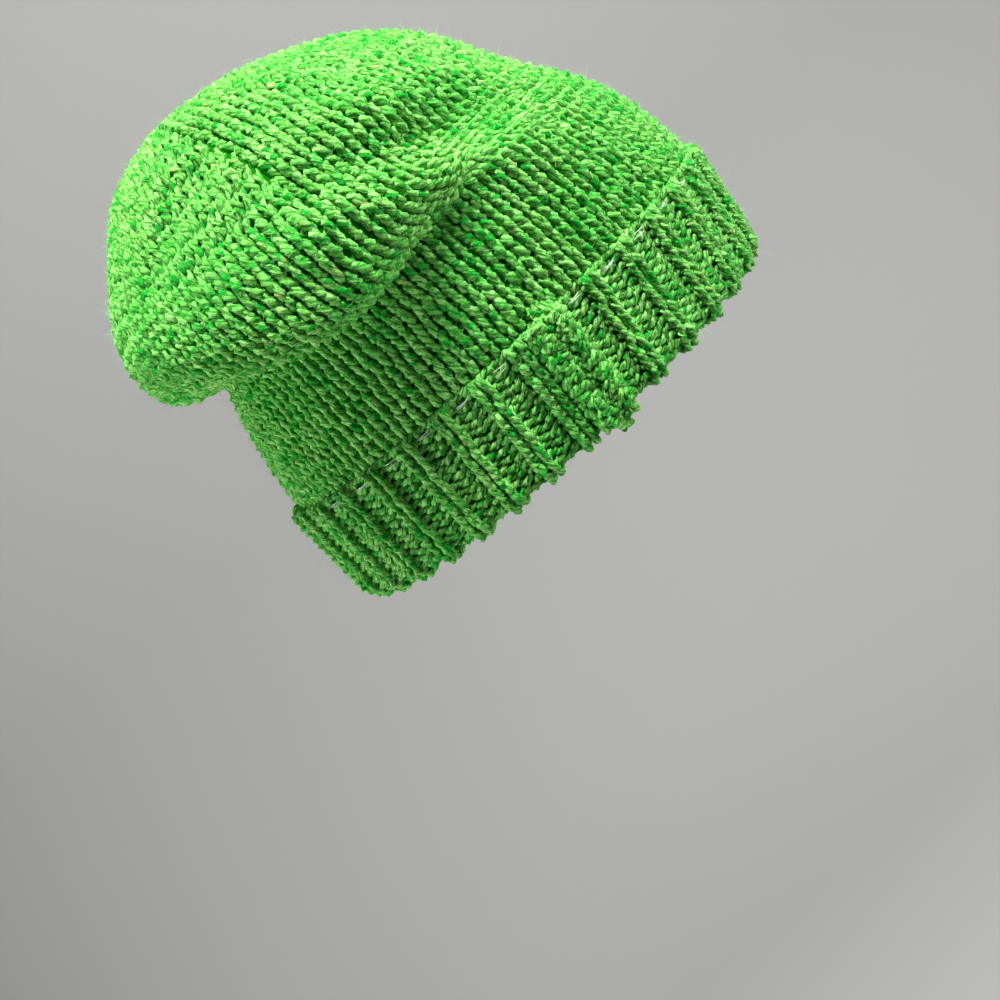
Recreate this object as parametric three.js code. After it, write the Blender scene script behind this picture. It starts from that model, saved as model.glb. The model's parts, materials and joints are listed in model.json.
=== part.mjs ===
// A slouchy knit beanie: stockinette body, a ribbed brim turned up outside it, elastic thread in the
// brim's edge, a sewn seam, and a crown of six wedges drawn together at the top.
// Millimetres, +Z towards the crown, +X towards the wearer's forehead, +Y to the wearer's left.
// The origin is the centre of the head opening, on the plane of the brim's fold.
import * as THREE from 'three';
import { mergeVertices } from 'three/addons/utils/BufferGeometryUtils.js';

// ---- driving dimensions ------------------------------------------------------------------------
const FOLD_FRONT = 101.5;        // half length of the oval that the brim folds about
const FOLD_SIDE = 85.5;          // half width of that oval
const CUFF_HEIGHT = 46;          // height of the turned-up brim
const LAYER = 5;                 // thickness of one layer of ribbing
const LAYER_GAP = 0.4;           // clearance between the two layers of the brim
const BODY_LAYER = 4.5;          // thickness of the stockinette
const JOIN_GAP = 0.4;            // clearance where two pieces of fabric meet
const WEDGE_GAP = 0.6;           // the same between two wedges of the crown
const PANEL_COUNT = 17;          // brim panels, each two rib repeats wide
const SEAM_ANGLE = THREE.MathUtils.degToRad(-80);  // where the seam runs, on the wearer's right
const GORE_COUNT = 6;            // wedges between the crown's lines of decreases
const SEAM_WIDTH = 6;            // width of the seam allowance
const SEAM_DEPTH = 2.4;          // how far the seam allowance stands off the fabric
const WELT_WIDTH = 15;           // width of the rolled seam on the outside of the brim
const WELT_DEPTH = 3.2;          // how far it stands off the brim
const WELT_PROUD = 2.5;          // how far it stands above the brim's edge
const ELASTIC_WIDTH = 1.4;       // the two strands of elastic, lying side by side
const ELASTIC_DEPTH = 0.6;
const ELASTIC_DROP = 1.6;        // from the brim's edge down to the elastic
const ELASTIC_REACH = 0.96;      // how much of a panel's half width the elastic spans
const ELASTIC_PAST_WELT = 0.5;   // where it starts on the panel that carries the rolled seam
const OUTSIDE_GAP = 0.3;         // from the brim's outer skin to the elastic and the rolled seam
const WELT_EDGE = 0.8;           // thickness of the rolled seam along its two long edges
const KNOT_RADIUS = 4.34;        // knot that closes the eye where the crown is drawn together
const KNOT_HALF_HEIGHT = 2.7;
const KNOT_SINK = 0.9;           // how far the knot's middle lies below the crown's top

// Stations along the fabric from the brim up: where it lies in front, behind and beside the head. Beside
// the head it hangs over the body towards the back, and runs up smoothly towards the front.
const FRONT = [[104, 3], [106, 50], [101, 78], [92, 98], [84, 109], [76, 121], [70.5, 131],
  [65.5, 140], [56, 152.5], [41, 165.5], [24, 175], [2, 184], [-19, 188.5], [-42, 190.5]];
const BACK = [[-101, 3], [-98, 48], [-93, 78], [-87, 100], [-85, 106], [-101, 109], [-109, 117],
  [-110, 131], [-105, 144], [-95, 157], [-83.5, 169.5], [-72, 180], [-60, 186], [-42, 190.5]];
const SIDE_BACK = [[85, 3], [86, 49], [86, 72], [84.5, 89], [82, 99], [91, 95], [100.5, 96],
  [104, 104], [98.5, 123], [86.5, 145], [71, 162.5], [50.5, 177.5], [24.5, 187.5], [0, 190.5]];
const SIDE_FRONT = [[85, 3], [86, 49], [87, 76], [86, 95], [85, 106], [86.5, 113], [88, 119],
  [89, 126.5], [88.5, 136], [83, 149.5], [71, 163.5], [50.5, 177.5], [24.5, 187.5], [0, 190.5]];
const OVERHANG_FROM = 0.85;      // cosine of the angle where the side starts to hang over, and
const OVERHANG_TO = 0.1;         // of the angle from which it hangs over fully
const LAST = FRONT.length - 1;
const BODY_FROM = 1;             // station at the top of the brim
const BODY_TO_BACK = 3.3;        // where the body ends under the slouch, behind and in front
const BODY_TO_FRONT = 4.42;
const BODY_SPREAD = 1.5;         // how much wider the front's ending runs than the smooth front does
const SLOUCH_FROM = 4.55;        // where the slouch starts, past the crease
const SLOUCH_WIDEST = 6.3;       // where the slouch's underside turns up into its side
const CROWN_FROM = 9;            // where the decreases start
const CROWN_TO = 12.72;          // where the gathering thread runs
const BAND_END = 0.02;           // part of a station left free where two bands of fabric meet
const SEAM_END = 0.05;           // part of a station by which the seam allowance stops short
const SEAM_TURN = 0.7;           // stations that it skips where the slouch's underside turns up

const SEGMENTS = 48;             // steps round a whole ring of fabric
const WELD = 1e-4;               // corners closer than this are one corner
const material = (name, color, roughness) =>
  new THREE.MeshStandardMaterial({ name, color, roughness, metalness: 0 });
const yarn = (name, color) => material(name, color, 0.95);
const RIB = yarn('rib yarn', 0x4d9a3c);
const BODY = yarn('body yarn', 0x62b34c);
const CROWN = yarn('crown yarn', 0x78cf60);
const SEAM = yarn('seam yarn', 0x5aa848);
const ELASTIC = material('elastic', 0xe6efe2, 0.2);

// ---- surfaces ----------------------------------------------------------------------------------
const rail = (points, place) =>
  new THREE.CatmullRomCurve3(points.map(place), false, 'catmullrom', 0.5);
const frontRail = rail(FRONT, ([x, z]) => new THREE.Vector3(x, 0, z));
const backRail = rail(BACK, ([x, z]) => new THREE.Vector3(x, 0, z));
const sideBackRail = rail(SIDE_BACK, ([y, z]) => new THREE.Vector3(0, y, z));
const sideFrontRail = rail(SIDE_FRONT, ([y, z]) => new THREE.Vector3(0, y, z));

// How smooth the side is at an angle: 0 where it hangs over, and 1 where it runs straight up.
const smoothAt = (angle) => THREE.MathUtils.smoothstep(Math.cos(angle), OVERHANG_TO, OVERHANG_FROM);

// Middle of the fabric at an angle round the head and a station: an oval through the rails.
function fabric(angle, station) {
  const t = station / LAST;
  const front = frontRail.getPoint(t);
  const back = backRail.getPoint(t);
  const side = sideBackRail.getPoint(t).lerp(sideFrontRail.getPoint(t), smoothAt(angle));
  const centre = front.clone().add(back).multiplyScalar(0.5);
  const reach = front.clone().sub(back).multiplyScalar(0.5);
  const rise = (side.z - centre.z) * Math.sin(angle) ** 4;
  return centre.addScaledVector(reach, Math.cos(angle))
    .add(new THREE.Vector3(0, side.y * Math.sin(angle), rise));
}

// The fabric's outward direction there, from two short steps along it.
function outward(angle, station) {
  const step = 0.02;
  const along = fabric(angle + step, station).sub(fabric(angle - step, station));
  const up = fabric(angle, station + step).sub(fabric(angle, station - step));
  return along.cross(up).normalize();
}

const offFabric = (angle, station, height) =>
  fabric(angle, station).addScaledVector(outward(angle, station), height);

// A closed sheet with thickness: `place(u, v, side)` gives its outer (side 1) and inner (side 0) skin
// for u and v from 0 to 1. `ring` joins its two ends in u.
function sheet(place, across, up, ring = false) {
  const columns = ring ? across : across + 1;
  const positions = [];
  const faces = [];
  for (const side of [1, 0]) {
    for (let row = 0; row <= up; row += 1) {
      for (let column = 0; column < columns; column += 1) {
        positions.push(...place(column / across, row / up, side).toArray());
      }
    }
  }
  const skin = columns * (up + 1);
  const at = (column, row, side) => (1 - side) * skin + row * columns + (column % columns);
  const quad = (a, b, c, d) => faces.push(a, b, c, a, c, d);
  for (let column = 0; column < across; column += 1) {
    for (let row = 0; row < up; row += 1) {
      quad(at(column, row, 1), at(column + 1, row, 1), at(column + 1, row + 1, 1), at(column, row + 1, 1));
      quad(at(column, row, 0), at(column, row + 1, 0), at(column + 1, row + 1, 0), at(column + 1, row, 0));
    }
    quad(at(column, 0, 0), at(column + 1, 0, 0), at(column + 1, 0, 1), at(column, 0, 1));
    quad(at(column, up, 1), at(column + 1, up, 1), at(column + 1, up, 0), at(column, up, 0));
  }
  for (let row = 0; row < up && !ring; row += 1) {
    quad(at(0, row, 0), at(0, row, 1), at(0, row + 1, 1), at(0, row + 1, 0));
    quad(at(across, row, 1), at(across, row, 0), at(across, row + 1, 0), at(across, row + 1, 1));
  }
  const geometry = new THREE.BufferGeometry();
  geometry.setAttribute('position', new THREE.Float32BufferAttribute(positions, 3));
  geometry.setIndex(faces);
  return mergeVertices(geometry, WELD);
}

const hat = new THREE.Group();
function add(name, geometry, finish) {
  geometry.computeVertexNormals();
  const mesh = new THREE.Mesh(geometry, finish);
  mesh.name = name;
  hat.add(mesh);
  return mesh;
}

const turn = (u) => SEAM_ANGLE + u * 2 * Math.PI;
const oval = (angle, grow, z) =>
  new THREE.Vector3((FOLD_FRONT + grow) * Math.cos(angle), (FOLD_SIDE + grow) * Math.sin(angle), z);

// ---- the layer next to the head, and the body --------------------------------------------------
const PANEL_IN = -1;                       // inner skin of the turned-up layer, from the fold's oval
const PANEL_OUT = PANEL_IN + LAYER;
const BAND_OUT = PANEL_IN - LAYER_GAP;     // outer skin of the layer next to the head

function buildInnerBand() {
  const place = (u, v, side) => oval(turn(u), BAND_OUT - (1 - side) * LAYER, v * CUFF_HEIGHT);
  add('inner_band', sheet(place, SEGMENTS, 2, true), RIB);
}

// The body reaches the slouch in front, and stays below its overhang at the sides and behind.
const bodyTop = (angle) =>
  THREE.MathUtils.lerp(BODY_TO_BACK, BODY_TO_FRONT, Math.min(1, BODY_SPREAD * smoothAt(angle)));

function bandOfFabric(from, to) {
  return (u, v, side) => {
    const angle = turn(u);
    return offFabric(angle, from + v * (to(angle) - from), (side - 0.5) * BODY_LAYER);
  };
}

function buildBody() {
  add('body_tube', sheet(bandOfFabric(BODY_FROM, bodyTop), SEGMENTS, 5, true), BODY);
  const underside = bandOfFabric(SLOUCH_FROM, () => SLOUCH_WIDEST - BAND_END);
  add('slouch_underside', sheet(underside, SEGMENTS, 4, true), BODY);
  const band = bandOfFabric(SLOUCH_WIDEST + BAND_END, () => CROWN_FROM);
  add('slouch_band', sheet(band, SEGMENTS, 5, true), BODY);
}

// The seam allowance lies inside the body, flat against it.
function seamStrip(from, to, rows) {
  const place = (u, v, side) => {
    const station = from + v * (to - from);
    const across = (u - 0.5) * SEAM_WIDTH / sideBackRail.getPoint(station / LAST).y;
    const depth = -BODY_LAYER / 2 - JOIN_GAP - (1 - side) * SEAM_DEPTH;
    return offFabric(SEAM_ANGLE + across, station, depth);
  };
  return sheet(place, 2, rows);
}

function buildSeam() {
  add('body_seam', seamStrip(BODY_FROM + SEAM_END, bodyTop(SEAM_ANGLE) - SEAM_END, 5), SEAM);
  add('slouch_seam', seamStrip(SLOUCH_WIDEST + SEAM_TURN, CROWN_FROM - SEAM_END, 5), SEAM);
}

// ---- the crown ---------------------------------------------------------------------------------
function buildCrown() {
  const from = CROWN_FROM + BAND_END;
  const wedge = 2 * Math.PI / GORE_COUNT;
  for (let gore = 0; gore < GORE_COUNT; gore += 1) {
    const place = (u, v, side) => {
      const station = from + v * (CROWN_TO - from);
      const radius = sideBackRail.getPoint(station / LAST).y;
      const gap = WEDGE_GAP / 2 / radius;
      const angle = SEAM_ANGLE + gore * wedge + gap + u * (wedge - 2 * gap);
      return offFabric(angle, station, (side - 0.5) * BODY_LAYER);
    };
    add(`crown_gore_${gore + 1}`, sheet(place, 8, 6), CROWN);
  }
}

// The tail of yarn drawn through the last stitches: a small flat knot that closes the eye.
function buildGather() {
  const top = fabric(0, LAST);
  const knot = new THREE.SphereGeometry(1, 12, 8);
  knot.scale(KNOT_RADIUS, KNOT_RADIUS, KNOT_HALF_HEIGHT);
  knot.deleteAttribute('normal');
  knot.deleteAttribute('uv');
  knot.translate(top.x, top.y, top.z - KNOT_SINK);
  add('crown_gather', mergeVertices(knot, WELD), SEAM);
}

// ---- the turned-up brim ------------------------------------------------------------------------
// Angles that share the fold's oval into equal lengths, so that every panel is as wide as the next.
function panelCentres() {
  const fine = 7200;
  const lengths = [0];
  for (let i = 1; i <= fine; i += 1) {
    const angle = turn((i - 0.5) / fine);
    const pace = Math.hypot(FOLD_FRONT * Math.sin(angle), FOLD_SIDE * Math.cos(angle));
    lengths.push(lengths[i - 1] + pace * 2 * Math.PI / fine);
  }
  const total = lengths[fine];
  const centres = [];
  let step = 0;
  for (let panel = 0; panel < PANEL_COUNT; panel += 1) {
    while (lengths[step] < total * panel / PANEL_COUNT) step += 1;
    centres.push(turn(step / fine));
  }
  return centres;
}

// A panel's own frame: X along the fold, Y away from the head, Z up.
function panelFrame(angle) {
  const out = new THREE.Vector3(Math.cos(angle) / FOLD_FRONT, Math.sin(angle) / FOLD_SIDE, 0).normalize();
  const along = new THREE.Vector3(-out.y, out.x, 0);
  const frame = new THREE.Matrix4().makeBasis(along, out, new THREE.Vector3(0, 0, 1));
  return frame.setPosition(oval(angle, 0, 0));
}

// How far the oval has fallen back from the panel's flat hinge line, at a distance along that line.
function fallBack(frame, x) {
  const point = new THREE.Vector3(x, 0, 0).applyMatrix4(frame);
  const out = new THREE.Vector3(frame.elements[4], frame.elements[5], 0);
  const a = (out.x / FOLD_FRONT) ** 2 + (out.y / FOLD_SIDE) ** 2;
  const b = 2 * (point.x * out.x / FOLD_FRONT ** 2 + point.y * out.y / FOLD_SIDE ** 2);
  const c = (point.x / FOLD_FRONT) ** 2 + (point.y / FOLD_SIDE) ** 2 - 1;
  return (-b + Math.sqrt(b * b - 4 * a * c)) / (2 * a);
}

// Where two neighbours' inner skins would meet, measured along the hinge line of the first.
function halfWidth(frame, next) {
  const apart = new THREE.Vector3().setFromMatrixPosition(next)
    .sub(new THREE.Vector3().setFromMatrixPosition(frame)).length();
  const bend = Math.acos(THREE.MathUtils.clamp(
    frame.elements[4] * next.elements[4] + frame.elements[5] * next.elements[5], -1, 1));
  const depth = fallBack(frame, apart / 2) + PANEL_IN;
  return apart / 2 / Math.cos(bend / 2) + depth * Math.tan(bend / 2) - JOIN_GAP / 2;
}

function buildPanel(panel, frame, reach) {
  const skin = (u, v, side) => {
    const x = THREE.MathUtils.lerp(-reach[0], reach[1], u);
    const depth = side === 1 ? PANEL_OUT : PANEL_IN;
    return new THREE.Vector3(x, fallBack(frame, x) + depth, JOIN_GAP + v * (CUFF_HEIGHT - JOIN_GAP));
  };
  add(`cuff_panel_${panel + 1}`, sheet(skin, 4, 1).applyMatrix4(frame), RIB);
}

// Elastic lies on the outside, just under the edge. The panel that carries the seam has it on one side.
function buildElastic(panel, frame, reach, from, to) {
  const skin = (u, v, side) => {
    const x = THREE.MathUtils.lerp(from * reach[0], to * reach[1], u);
    const depth = PANEL_OUT + OUTSIDE_GAP + side * ELASTIC_DEPTH;
    const z = CUFF_HEIGHT - ELASTIC_DROP - (1 - v) * ELASTIC_WIDTH;
    return new THREE.Vector3(x, fallBack(frame, x) + depth, z);
  };
  add(`elastic_${panel + 1}`, sheet(skin, 4, 1).applyMatrix4(frame), ELASTIC);
}

// The rolled seam stands off the outside of its panel and a little above the brim's edge.
function buildWelt(frame) {
  const skin = (u, v, side) => {
    const x = (u - 0.5) * WELT_WIDTH;
    const crown = Math.sqrt(Math.max(0, 1 - (2 * u - 1) ** 2));
    const depth = PANEL_OUT + OUTSIDE_GAP + side * (WELT_EDGE + WELT_DEPTH * crown);
    const z = JOIN_GAP + v * (CUFF_HEIGHT + WELT_PROUD * crown);
    return new THREE.Vector3(x, fallBack(frame, x) + depth, z);
  };
  add('cuff_seam_welt', sheet(skin, 6, 1).applyMatrix4(frame), SEAM);
}

function buildBrim() {
  const frames = panelCentres().map(panelFrame);
  for (let panel = 0; panel < PANEL_COUNT; panel += 1) {
    const frame = frames[panel];
    const before = frames[(panel + PANEL_COUNT - 1) % PANEL_COUNT];
    const after = frames[(panel + 1) % PANEL_COUNT];
    const reach = [halfWidth(frame, before), halfWidth(frame, after)];
    buildPanel(panel, frame, reach);
    const start = panel === 0 ? ELASTIC_PAST_WELT : -ELASTIC_REACH;
    buildElastic(panel, frame, reach, start, ELASTIC_REACH);
  }
  buildWelt(frames[0]);
}

buildInnerBand();
buildBody();
buildSeam();
buildCrown();
buildGather();
buildBrim();

export default hat;
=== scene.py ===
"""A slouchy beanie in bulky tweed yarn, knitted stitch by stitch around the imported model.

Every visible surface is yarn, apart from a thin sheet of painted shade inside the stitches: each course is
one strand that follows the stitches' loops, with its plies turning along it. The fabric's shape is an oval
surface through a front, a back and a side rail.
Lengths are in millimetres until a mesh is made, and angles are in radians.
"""

import json
import logging
import math
from collections.abc import Sequence
from dataclasses import dataclass, field
from enum import Enum

import bpy
import numpy as np
from mathutils import Matrix


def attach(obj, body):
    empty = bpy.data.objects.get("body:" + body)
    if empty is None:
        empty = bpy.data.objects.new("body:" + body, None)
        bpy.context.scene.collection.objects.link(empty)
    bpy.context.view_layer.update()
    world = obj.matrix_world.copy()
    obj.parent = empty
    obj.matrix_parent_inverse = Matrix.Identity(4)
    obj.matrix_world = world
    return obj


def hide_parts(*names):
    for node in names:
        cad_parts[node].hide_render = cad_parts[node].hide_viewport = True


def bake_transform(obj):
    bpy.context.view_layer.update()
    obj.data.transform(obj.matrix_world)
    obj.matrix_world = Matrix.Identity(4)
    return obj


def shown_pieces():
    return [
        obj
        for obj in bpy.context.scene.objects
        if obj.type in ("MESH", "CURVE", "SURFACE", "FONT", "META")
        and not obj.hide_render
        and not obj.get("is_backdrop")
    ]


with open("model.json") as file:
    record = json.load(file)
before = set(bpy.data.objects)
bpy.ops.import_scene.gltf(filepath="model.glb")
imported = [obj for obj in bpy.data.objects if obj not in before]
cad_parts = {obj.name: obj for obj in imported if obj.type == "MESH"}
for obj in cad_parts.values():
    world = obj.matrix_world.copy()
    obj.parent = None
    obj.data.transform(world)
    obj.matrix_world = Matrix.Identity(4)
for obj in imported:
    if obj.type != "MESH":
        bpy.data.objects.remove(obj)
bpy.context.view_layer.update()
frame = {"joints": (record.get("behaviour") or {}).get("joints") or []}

MM = 0.001
TWO_PI = 2 * math.pi
UP = np.array([0.0, 0.0, 1.0])
log = logging.getLogger("beanie")

HAT = "hat_body"
SEAM_ANGLE = math.radians(-80)
WALES = 66                # stitches round the body
RIBS = 34                 # knit-one purl-one repeats round the brim
CUFF_TOP = 46.5           # height of the turned-up brim
GORES = 6                 # wedges of the crown
HEART = (-8.0, 0.0, 85.0)  # a place inside the hat that every outer face looks away from
SEAM_EDGE = 0.02          # stitches left free at each end of the body's fabric
UV_STRIDE = 137.0         # how far apart two strands' UVs start, so that no two look alike
PHASES = 40.0             # strands take their seed from 0 to this
SLUB_WAVES = ((7.3, 5.1, 1.0), (3.1, 2.3, 0.7))  # length in mm, shift with the seed, and strength
HAIR_FACING = 0.3         # cosine between a hair's root and straight out of the hat, at the least
BACKING_PER_STITCH = 1.5  # how finely the sheet inside the stitches is divided
BACKING_HALF = 0.15       # half its thickness


# ---- meshes ------------------------------------------------------------------------------------
class Part(Enum):
    """The kinds of surface in one knitted piece, as material slots."""

    YARN = 0
    # the sheet inside the fabric, coloured dark as painted shade between the stitches
    SHADE = 1
    HAIR = 2


@dataclass
class MeshData:
    """Vertices, quads, triangles and their UVs, gathered before a mesh is made."""

    verts: list[np.ndarray] = field(default_factory=list)
    quads: list[np.ndarray] = field(default_factory=list)
    tris: list[np.ndarray] = field(default_factory=list)
    quad_uvs: list[np.ndarray] = field(default_factory=list)
    tri_uvs: list[np.ndarray] = field(default_factory=list)
    quad_parts: list[np.ndarray] = field(default_factory=list)
    tri_parts: list[np.ndarray] = field(default_factory=list)
    count: int = 0

    def add(
        self,
        verts: np.ndarray,
        quads: np.ndarray,
        quad_uvs: np.ndarray,
        part: Part,
        tris: np.ndarray | None = None,
        tri_uvs: np.ndarray | None = None,
    ) -> None:
        """Adds a surface.

        Args:
            verts: its points, (n, 3), in millimetres.
            quads: (m, 4) indices into verts.
            quad_uvs: (m, 4, 2) UVs.
            part: the kind of surface.
            tris: (k, 3) indices into verts.
            tri_uvs: (k, 3, 2) UVs.
        """
        self.quads.append(quads + self.count)
        self.quad_uvs.append(quad_uvs)
        self.quad_parts.append(np.full(len(quads), part.value))
        if tris is not None and tri_uvs is not None:
            self.tris.append(tris + self.count)
            self.tri_uvs.append(tri_uvs)
            self.tri_parts.append(np.full(len(tris), part.value))
        self.verts.append(verts)
        self.count += len(verts)

    def build(self, name: str, materials: Sequence[bpy.types.Material]) -> bpy.types.Object:
        """Makes the mesh object, at the origin, smooth, with one UV map.

        Args:
            name: the object's name.
            materials: one for each Part, in order.

        Returns:
            The new object.
        """
        verts = np.concatenate(self.verts) * MM
        quads = np.concatenate(self.quads)
        tris = np.concatenate(self.tris) if self.tris else np.zeros((0, 3), int)
        tri_uvs = np.concatenate(self.tri_uvs) if self.tris else np.zeros((0, 3, 2))
        tri_parts = np.concatenate(self.tri_parts) if self.tris else np.zeros(0, int)
        mesh = bpy.data.meshes.new(name)
        mesh.vertices.add(len(verts))
        mesh.vertices.foreach_set("co", verts.astype(np.float32).ravel())
        mesh.loops.add(quads.size + tris.size)
        mesh.loops.foreach_set("vertex_index", np.concatenate([quads.ravel(), tris.ravel()]).astype(np.int32))
        mesh.polygons.add(len(quads) + len(tris))
        starts = np.concatenate([np.arange(len(quads)) * 4, quads.size + np.arange(len(tris)) * 3])
        mesh.polygons.foreach_set("loop_start", starts.astype(np.int32))
        parts = np.concatenate([*self.quad_parts, tri_parts])
        mesh.polygons.foreach_set("material_index", parts.astype(np.int32))
        mesh.polygons.foreach_set("use_smooth", np.ones(len(parts), bool))
        layer = mesh.uv_layers.new(name="Yarn")
        uvs = np.concatenate([np.concatenate(self.quad_uvs).reshape(-1, 2), tri_uvs.reshape(-1, 2)])
        layer.data.foreach_set("uv", uvs.astype(np.float32).ravel())
        for material in materials:
            mesh.materials.append(material)
        mesh.validate()
        mesh.update(calc_edges=True)
        piece = bpy.data.objects.new(name, mesh)
        bpy.context.scene.collection.objects.link(piece)
        return piece


def unit(vectors: np.ndarray) -> np.ndarray:
    """Vectors scaled to length 1 along the last axis."""
    return vectors / np.maximum(np.linalg.norm(vectors, axis=-1, keepdims=True), 1e-12)


@dataclass(frozen=True)
class Strand:
    """A yarn's own shape: plies twisted together, with thick and thin places.

    Each ply takes three columns of the mesh, one in the valley between plies and two on its crown, and
    the columns turn about the strand as it runs, so that the mesh itself is laid like the plies.
    """

    radius: float
    plies: int = 3
    lay: float = 12.0
    valley: float = 0.8
    slub: float = 0.09

    def profile(self) -> tuple[np.ndarray, np.ndarray]:
        """Returns the columns' angles and their radii as shares of the yarn's radius."""
        sides = 3 * self.plies
        angles = np.arange(sides) * TWO_PI / sides
        return angles, np.where(np.arange(sides) % 3 == 0, self.valley, 1.0)

    def sweep(
        self, data: MeshData, path: np.ndarray, normals: np.ndarray, seed: float,
        girth: np.ndarray | float = 1.0,
    ) -> None:
        """Adds the yarn along a path to a mesh.

        A point of the surface is the path's point plus radius times (cos a times the side direction plus
        sin a times the normal), where a is the column's angle plus 2 pi times arc length over the lay. The
        radius swells by slub times two sines of the arc length, of different pace, so that it never repeats.

        Args:
            data: the mesh to add to.
            path: (n, 3) points in millimetres.
            normals: (n, 3) directions that the section keeps as its up.
            seed: a number that sets this strand's own slubs and its place in the colour pattern.
            girth: how thick the yarn is at each point, as a share of its radius.
        """
        tangents = unit(np.gradient(path, axis=0))
        sides = unit(np.cross(tangents, normals))
        ups = np.cross(sides, tangents)
        steps = np.linalg.norm(np.diff(path, axis=0), axis=1)
        arc = np.concatenate([[0.0], np.cumsum(steps)])
        angles, shares = self.profile()
        turned = angles[None] + (TWO_PI * arc / self.lay)[:, None]
        waves = sum(strength * np.sin(arc / length + seed * shift) for length, shift, strength in SLUB_WAVES)
        thick = 1 + self.slub * waves
        reach = self.radius * (girth * thick)[:, None] * shares[None]
        rings = path[:, None] + reach[..., None] * (
            np.cos(turned)[..., None] * sides[:, None] + np.sin(turned)[..., None] * ups[:, None]
        )
        rows, columns = turned.shape
        row = np.arange(rows - 1)[:, None]
        column = np.arange(columns)[None]
        after = (column + 1) % columns
        here = row * columns
        quads = np.stack(
            [here + column, here + columns + column, here + columns + after, here + after], axis=-1
        ).reshape(-1, 4)
        left, right = column / columns, (column + 1) / columns
        low = np.broadcast_to(arc[:-1, None], (rows - 1, columns)) + seed * UV_STRIDE
        high = np.broadcast_to(arc[1:, None], (rows - 1, columns)) + seed * UV_STRIDE
        left = np.broadcast_to(left, low.shape)
        right = np.broadcast_to(right, low.shape)
        uvs = np.stack(
            [np.stack([left, low], -1), np.stack([left, high], -1), np.stack([right, high], -1),
             np.stack([right, low], -1)], axis=2
        ).reshape(-1, 4, 2)
        first, last = rows * columns, rows * columns + 1
        ring = np.arange(columns)
        bottom = np.stack([np.full(columns, first), ring, (ring + 1) % columns], -1)
        top = np.stack([np.full(columns, last), (rows - 1) * columns + (ring + 1) % columns,
                        (rows - 1) * columns + ring], -1)
        ends = np.stack([path[0], path[-1]])
        verts = np.concatenate([rings.reshape(-1, 3), ends])
        caps = np.concatenate([bottom, top])
        cap_uvs = np.zeros((len(caps), 3, 2))
        cap_uvs[..., 1] = seed * UV_STRIDE
        data.add(verts, quads, uvs, Part.YARN, caps, cap_uvs)


@dataclass(frozen=True)
class Hairs:
    """The loose fibres that stand off the yarn, each a flat ribbon much thinner than it is long."""

    width: float = 0.13
    length: float = 1.9
    spread: float = 0.42       # how uneven their lengths are
    stray: float = 0.8         # how far they lean from straight out
    curl: float = 0.65         # how much they bend
    steps: int = 2

    def grow(self, data: MeshData, roots: np.ndarray, ways: np.ndarray, rng: np.random.Generator) -> None:
        """Adds one bent tapering hair at each root.

        A hair is a quadratic curve: root + way t + bend t squared, with t from 0 to 1, and its width falls
        with t.

        Args:
            data: the mesh to add to.
            roots: (n, 3) points on the yarn.
            ways: (n, 3) outward directions there.
            rng: the source of chance.
        """
        count = len(roots)
        if not count:
            return
        length = self.length * np.exp(rng.normal(-0.1, self.spread, (count, 1)))
        way = unit(ways + self.stray * rng.normal(size=(count, 3))) * length
        bend = rng.normal(size=(count, 3)) * length * self.curl
        t = np.linspace(0, 1, self.steps + 1)[None, :, None]
        path = roots[:, None] + way[:, None] * t + bend[:, None] * t ** 2
        side = unit(np.cross(way[:, None] + 2 * bend[:, None] * t, rng.normal(size=(count, 1, 3))))
        half = 0.5 * self.width * (1.05 - 0.9 * t)
        edges = np.stack([path - half * side, path + half * side], axis=2)
        base = np.arange(count)[:, None] * (2 * (self.steps + 1)) + 2 * np.arange(self.steps)[None]
        quads = np.stack([base, base + 1, base + 3, base + 2], -1).reshape(-1, 4)
        uvs = np.repeat(rng.random((len(quads), 1, 2)), 4, axis=1)
        data.add(edges.reshape(-1, 3), quads, uvs, Part.HAIR)


# ---- the fabric's shape ------------------------------------------------------------------------
FRONT = [(102, 38), (106, 50), (101, 78), (92, 98), (84, 109), (76, 121), (70.5, 131),
         (65.5, 140), (56, 152.5), (41, 165.5), (24, 175), (2, 184), (-19, 188.5), (-42, 190.5)]
BACK = [(-93, 38), (-99.5, 48), (-95, 78), (-88, 100), (-85, 106), (-101, 109), (-109, 117),
        (-110, 131), (-105, 144), (-95, 157), (-83.5, 169.5), (-72, 180), (-60, 186), (-42, 190.5)]
SIDE_BACK = [(82, 38), (86, 49), (86, 72), (84.5, 89), (82, 99), (91, 95), (100.5, 96),
             (104, 104), (98.5, 123), (86.5, 145), (71, 162.5), (50.5, 177.5), (24.5, 187.5), (0, 190.5)]
SIDE_FRONT = [(82, 38), (86, 49), (87, 76), (86, 95), (85, 106), (86.5, 113), (88, 119),
              (89, 126.5), (88.5, 136), (83, 149.5), (71, 163.5), (50.5, 177.5), (24.5, 187.5), (0, 190.5)]
OVERHANG_FROM = 0.85      # cosine of the angle where the side starts to hang over, and of
OVERHANG_TO = 0.1         # the angle from which it hangs over fully


def along_rail(rail: Sequence[tuple[float, float]], station: np.ndarray) -> np.ndarray:
    """A uniform Catmull-Rom curve through a rail's points.

    Args:
        rail: its points.
        station: places along it, where whole numbers are the points.

    Returns:
        Points, with the shape of station plus (2,).
    """
    points = np.array(rail, float)
    points = np.concatenate([[2 * points[0] - points[1]], points, [2 * points[-1] - points[-2]]])
    station = np.clip(station, 0, len(rail) - 1 - 1e-9)
    index = station.astype(int)
    t = (station - index)[..., None]
    p0, p1, p2, p3 = (points[index + k] for k in range(4))
    return 0.5 * (2 * p1 + (p2 - p0) * t + (2 * p0 - 5 * p1 + 4 * p2 - p3) * t ** 2
                  + (3 * p1 - p0 - 3 * p2 + p3) * t ** 3)


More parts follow.
